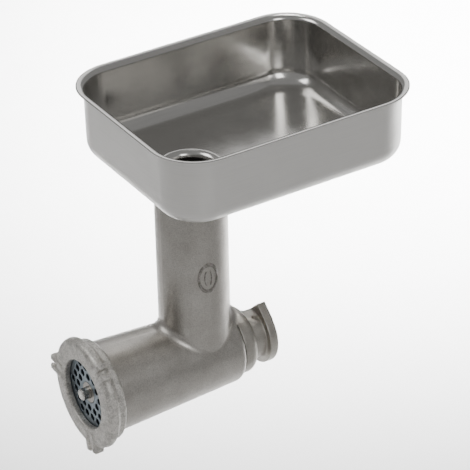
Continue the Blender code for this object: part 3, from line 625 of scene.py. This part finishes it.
class Shader:
    """A node material under construction, on the object's own coordinates in millimetres."""

    def __init__(self, name):
        self.material = bpy.data.materials.new(name)
        self.material.use_nodes = True
        self.tree = self.material.node_tree
        self.principled = self.tree.nodes["Principled BSDF"]
        coords = self.add("ShaderNodeTexCoord")
        scale = self.add("ShaderNodeMapping", Scale=(1000.0, 1000.0, 1000.0))
        self.link(coords.outputs["Object"], scale.inputs["Vector"])
        self.mm = scale.outputs["Vector"]

    def add(self, kind, **inputs):
        node = self.tree.nodes.new(kind)
        for key, value in inputs.items():
            node.inputs[key.replace("_", " ")].default_value = value
        return node

    def link(self, out, into):
        self.tree.links.new(out, into)

    def stretched(self, scale):
        """The coordinates scaled along each axis, for grain that runs one way."""
        node = self.add("ShaderNodeMapping", Scale=scale)
        self.link(self.mm, node.inputs["Vector"])
        return node.outputs["Vector"]

    def noise(self, size, detail=3.0, roughness=0.5, vector=None):
        """Noise whose features are about size millimetres across."""
        node = self.add("ShaderNodeTexNoise", Scale=1.0 / size, Detail=detail, Roughness=roughness)
        self.link(vector or self.mm, node.inputs["Vector"])
        return node.outputs["Fac"]

    def tones(self, value, low, high, first, last):
        """Turns low..high of a value into one colour through to another."""
        node = self.add("ShaderNodeValToRGB")
        for element, position, colour in zip(node.color_ramp.elements, (low, high), (first, last)):
            element.position = position
            element.color = (*colour, 1.0)
        self.link(value, node.inputs["Fac"])
        return node.outputs["Color"]

    def amounts(self, value, low, high, first, last):
        """Turns low..high of a value into one number through to another."""
        node = self.add("ShaderNodeMapRange", From_Min=low, From_Max=high, To_Min=first, To_Max=last)
        self.link(value, node.inputs["Value"])
        return node.outputs["Result"]

    def mix(self, factor, a, b, blend="MIX"):
        """Mixes two colours. A factor or colour is a number, a tuple or another node's output."""
        node = self.add("ShaderNodeMix")
        node.data_type = "RGBA"
        node.blend_type = blend
        for key, value in (("Factor", factor), ("A", a), ("B", b)):
            socket = next(socket for socket in node.inputs if socket.name == key and socket.enabled)
            self.fill(socket, value)
        return next(socket for socket in node.outputs if socket.enabled)

    def fill(self, socket, value):
        if isinstance(value, (float, tuple)):
            socket.default_value = value
        else:
            self.link(value, socket)

    def bump(self, height, depth_mm, normal=None):
        node = self.add("ShaderNodeBump", Strength=1.0, Distance=depth_mm * MM)
        self.link(height, node.inputs["Height"])
        if normal:
            self.link(normal, node.inputs["Normal"])
        return node.outputs["Normal"]

    def finished(self, **values):
        """Sets the surface's values and gives the material."""
        for key, value in values.items():
            self.fill(self.principled.inputs[key.replace("_", " ")], value)
        return self.material


def scaled(colour, share):
    return tuple(share * part for part in colour)


def cast_metal(
    name, dark, light, roughness, grain_mm, grain_depth_mm, metallic=0.9, mottle_mm=18.0, pit_tone=0.8
):
    """Bead-blasted casting: mottled tone, fine pits, and edges rubbed brighter."""
    shader = Shader(name)
    mottle = shader.noise(mottle_mm, detail=4.0)
    tone = shader.tones(mottle, 0.35, 0.65, dark, light)
    pits = shader.noise(grain_mm * 1.6, roughness=0.7)
    speck = shader.tones(pits, 0.35, 0.6, (pit_tone, pit_tone, pit_tone), (1.0, 1.0, 1.0))
    colour = shader.mix(1.0, tone, speck, "MULTIPLY")
    geometry = shader.add("ShaderNodeNewGeometry")
    worn = shader.amounts(geometry.outputs["Pointiness"], 0.53, 0.62, 0.0, 0.35)
    rubbed = tuple(min(1.0, part) for part in scaled(light, 1.25))
    colour = shader.mix(worn, colour, (*rubbed, 1.0))
    rough = shader.amounts(shader.noise(6.0), 0.3, 0.7, roughness - 0.06, roughness + 0.08)
    coarse = shader.bump(shader.noise(grain_mm * 5.0), grain_depth_mm * 1.6)
    fine = shader.bump(shader.noise(grain_mm, roughness=0.6), grain_depth_mm, coarse)
    return shader.finished(Base_Color=colour, Roughness=rough, Metallic=metallic, Normal=fine)


def sheet_steel(name, colour, roughness, brushing, depth_mm):
    """Stainless sheet with fine lines along the axis whose scale is lowest."""
    shader = Shader(name)
    lines = shader.noise(1.0, detail=4.0, roughness=0.6, vector=shader.stretched(brushing))
    tone = shader.tones(lines, 0.3, 0.7, scaled(colour, 0.93), colour)
    smudge = shader.noise(28.0)
    rough = shader.amounts(smudge, 0.3, 0.7, roughness - 0.04, roughness + 0.05)
    bump = shader.bump(lines, depth_mm)
    return shader.finished(Base_Color=tone, Roughness=rough, Metallic=1.0, Normal=bump)


def turned_steel(name, colour, roughness):
    """Machined steel with faint rings left by the tool."""
    shader = Shader(name)
    rings = shader.noise(1.0, roughness=0.6, vector=shader.stretched((0.6, 5.0, 0.6)))
    tone = shader.tones(rings, 0.3, 0.7, scaled(colour, 0.85), colour)
    rough = shader.amounts(shader.noise(4.0), 0.3, 0.7, roughness - 0.05, roughness + 0.08)
    bump = shader.bump(rings, 0.01)
    return shader.finished(Base_Color=tone, Roughness=rough, Metallic=1.0, Normal=bump)


def moulded(name, colour, roughness):
    """Rubber or plastic with a slightly uneven tone and a fine grain."""
    shader = Shader(name)
    mottle = shader.noise(5.0)
    tone = shader.tones(mottle, 0.3, 0.7, scaled(colour, 0.85), colour)
    rough = shader.amounts(mottle, 0.3, 0.7, roughness, roughness + 0.1)
    bump = shader.bump(shader.noise(0.6), 0.02)
    return shader.finished(Base_Color=tone, Roughness=rough, Metallic=0.0, Normal=bump)


# Materials

CAST = cast_metal(
    "housing_casting",
    dark=(0.41, 0.39, 0.36),
    light=(0.47, 0.45, 0.42),
    roughness=0.36,
    grain_mm=0.6,
    grain_depth_mm=0.05,
    metallic=0.92,
    mottle_mm=22.0,
    pit_tone=0.74,
)
# A darker copy of the housing's casting for the raised oval mark: painted shade, standing in for the
# shadows along its ridge and bars
MARK_PAINTED_SHADE_CAST = cast_metal(
    "mark_casting_painted_shade",
    dark=(0.20, 0.19, 0.17),
    light=(0.34, 0.32, 0.30),
    roughness=0.45,
    grain_mm=0.6,
    grain_depth_mm=0.05,
    mottle_mm=3.0,
    pit_tone=0.6,
)
HUB_CAST = cast_metal(
    "hub_casting",
    dark=(0.36, 0.34, 0.31),
    light=(0.46, 0.44, 0.40),
    roughness=0.36,
    grain_mm=0.5,
    grain_depth_mm=0.02,
)
RING_CAST = cast_metal(
    "ring_casting",
    dark=(0.50, 0.48, 0.45),
    light=(0.68, 0.66, 0.62),
    roughness=0.50,
    grain_mm=0.9,
    grain_depth_mm=0.16,
    metallic=0.8,
    mottle_mm=7.0,
    pit_tone=0.6,
)
WORM_CAST = cast_metal(
    "worm_casting",
    dark=(0.42, 0.41, 0.38),
    light=(0.52, 0.51, 0.48),
    roughness=0.35,
    grain_mm=0.6,
    grain_depth_mm=0.02,
)

# Sheets: colour, roughness, the lines' scale on X, Y and Z, and their depth in millimetres
TRAY_OUTSIDE = sheet_steel("tray_satin", (0.62, 0.61, 0.59), 0.36, (0.02, 0.02, 2.0), 0.004)
TRAY_INSIDE = sheet_steel("tray_polished", (0.56, 0.55, 0.53), 0.19, (0.02, 0.02, 1.2), 0.0004)
PLATE_STEEL = sheet_steel("plate_ground", (0.22, 0.26, 0.29), 0.36, (0.3, 1.0, 6.0), 0.01)

# Machined and moulded pieces: colour and roughness
BLADE_STEEL = turned_steel("blade_steel", (0.55, 0.56, 0.57), 0.28)
TURNED_STEEL = turned_steel("turned_steel", (0.60, 0.59, 0.56), 0.28)
SCREW_STEEL = turned_steel("screw_steel", (0.10, 0.10, 0.10), 0.45)
BUSH = turned_steel("bush_metal", (0.40, 0.38, 0.35), 0.35)
RUBBER = moulded("seal_rubber", (0.03, 0.03, 0.03), 0.75)
NYLON = moulded("washer_nylon", (0.80, 0.78, 0.70), 0.5)


# CAD nodes that are shown as they are


def finish_node(name, material):
    """Gives a node its material and smooth round faces."""
    obj = nodes[name]
    obj.data.materials.clear()
    obj.data.materials.append(material)
    smooth(obj, NODE_SHARP_DEG)


def break_edges(name, width):
    edge = nodes[name].modifiers.new("Broken edges", "BEVEL")
    edge.width = width
    edge.segments = 2
    edge.limit_method = "ANGLE"
    edge.angle_limit = math.radians(40.0)


def soften(name, voxel, passes):
    """Gives a casting soft edges: a fine skin over the node, then smoothed."""
    skin = nodes[name].modifiers.new("Skin", "REMESH")
    skin.mode = "VOXEL"
    skin.voxel_size = voxel
    skin.use_smooth_shade = True
    soft = nodes[name].modifiers.new("Soft", "SMOOTH")
    soft.factor = 0.5
    soft.iterations = passes


CAST_NODES = {"hub_adapter": HUB_CAST, "ring_nut": RING_CAST, "worm": WORM_CAST}
SMALL_NODES = {
    "rear_bush": BUSH,
    "stud_pin": TURNED_STEEL,
    "plate_locating_pin": TURNED_STEEL,
    "coupling_pin": TURNED_STEEL,
    "hub_seal": RUBBER,
    "thrust_washer": NYLON,
}
MACHINED_NODES = {
    "worm_stud": TURNED_STEEL,
    "knife": BLADE_STEEL,
    "plate_bush": BUSH,
    "drive_coupling": TURNED_STEEL,
    "hub_grub_screw_top": SCREW_STEEL,
    "hub_grub_screw_left": SCREW_STEEL,
    "hub_grub_screw_bottom": SCREW_STEEL,
}

for name, material in {**CAST_NODES, **SMALL_NODES, **MACHINED_NODES}.items():
    finish_node(name, material)
for name in MACHINED_NODES:
    break_edges(name, 0.3 * MM)

# The size of the skin's voxels, and how often it is smoothed
soften("ring_nut", 0.6 * MM, 3)
soften("hub_adapter", 0.5 * MM, 4)
soften("worm", 0.7 * MM, 4)


# Detailed pieces

placed(build_housing(), "head", "housing_casting", [CAST], "housing")
# The oval mark takes the darker casting, whose darkness is painted shade
for shape, material in ((barrel_thread, CAST), (oval_mark, MARK_PAINTED_SHADE_CAST)):
    piece = shape()
    smooth(piece, CAST_SHARP_DEG)
    piece.data.materials.append(material)
    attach(piece, "head")
placed(build_plate(), "plate_set", "plate_steel", [PLATE_STEEL], "mincing_plate")

# The choice of material is put back face by face, because placed() empties the list
tray = build_tray()
sides = [face.material_index for face in tray.data.polygons]
placed(tray, "tray_set", "tray_steel", [TRAY_INSIDE, TRAY_OUTSIDE], "tray")
tray.data.polygons.foreach_set("material_index", sides)
placed(build_spout(), "tray_set", "tray_steel", [TRAY_INSIDE], "tray_spout")


# Stage

FLOOR_Z = -0.30
FLOOR_HALF = 6.0
WORLD_BRIGHTNESS = 0.34
FLOOR_LIGHT_SPREAD_DEG = 40.0

# The camera's place, from where the neck's axis meets the worm's: along its own back, right and up
CAMERA_AZIMUTH_DEG = 58.41
CAMERA_ELEVATION_DEG = 31.221
CAMERA_ROLL_DEG = -1.326
CAMERA_BACK = 2.3076
CAMERA_RIGHT = 0.03301
CAMERA_UP = 0.09925
CAMERA_SENSOR_MM = 36.0
CAMERA_LENS_MM = 210.64
CAMERA_CLIP_END = 50.0


def add_area_light(name, location, target, size, power):
    """A rectangular light turned towards its target."""
    light = bpy.data.lights.new(name, "AREA")
    light.shape = "RECTANGLE"
    light.size, light.size_y = size
    light.energy = power
    obj = new_object(name, light)
    obj.location = location
    obj.rotation_euler = (Vector(target) - Vector(location)).to_track_quat("-Z", "Y").to_euler()
    return obj


def add_floor(height):
    bm = bmesh.new()
    bmesh.ops.create_grid(bm, x_segments=1, y_segments=1, size=FLOOR_HALF)
    mesh = bpy.data.meshes.new("floor")
    bm.to_mesh(mesh)
    bm.free()
    floor = new_object("floor", mesh)
    floor.location.z = height
    shader = Shader("floor_paper")
    tone = shader.tones(shader.noise(60.0), 0.3, 0.7, (0.93, 0.93, 0.93), (0.95, 0.95, 0.95))
    mesh.materials.append(shader.finished(Base_Color=tone, Roughness=0.9))


def add_world(brightness):
    world = bpy.data.worlds.new("studio")
    world.use_nodes = True
    background = world.node_tree.nodes["Background"]
    background.inputs["Color"].default_value = (1.0, 1.0, 1.0, 1.0)
    background.inputs["Strength"].default_value = brightness
    bpy.context.scene.world = world


def add_camera():
    """A long lens from the front right and above, placed from where the neck's axis meets the worm's."""
    azimuth = math.radians(CAMERA_AZIMUTH_DEG)
    elevation = math.radians(CAMERA_ELEVATION_DEG)
    roll = math.radians(CAMERA_ROLL_DEG)
    back = Vector((
        math.sin(azimuth) * math.cos(elevation),
        -math.cos(azimuth) * math.cos(elevation),
        math.sin(elevation),
    ))
    level = Vector((math.cos(azimuth), math.sin(azimuth), 0.0))
    upright = back.cross(level)
    right = math.cos(roll) * level + math.sin(roll) * upright
    up = math.cos(roll) * upright - math.sin(roll) * level
    crossing = Vector((0.0, NECK_Y, 0.0))
    place = crossing + CAMERA_BACK * back + CAMERA_RIGHT * right + CAMERA_UP * up
    camera = bpy.data.cameras.new("camera")
    camera.sensor_width = CAMERA_SENSOR_MM
    camera.lens = CAMERA_LENS_MM
    camera.clip_end = CAMERA_CLIP_END
    camera.dof.use_dof = False
    obj = new_object("camera", camera)
    obj.matrix_world = Matrix.Translation(place) @ Matrix((right, up, back)).transposed().to_4x4()
    bpy.context.scene.camera = obj


add_camera()
add_floor(FLOOR_Z)
add_world(WORLD_BRIGHTNESS)

# Each light: its place, what it faces, its size in metres and its power in watts
add_area_light("key_softbox", (-0.6, -1.2, 1.5), (0.0, -0.07, 0.1), (0.9, 0.9), 12.0)
add_area_light("side_softbox", (1.4, -0.2, 1.0), (0.0, -0.07, 0.1), (0.5, 1.0), 8.0)
add_area_light("back_softbox", (-1.3, 0.8, 1.1), (0.0, 0.0, 0.2), (0.8, 1.2), 4.0)
floor_light = add_area_light("floor_light", (-1.0, 0.95, 1.5), (-0.8, 0.85, -0.3), (1.3, 1.3), 75.0)
floor_light.data.spread = math.radians(FLOOR_LIGHT_SPREAD_DEG)
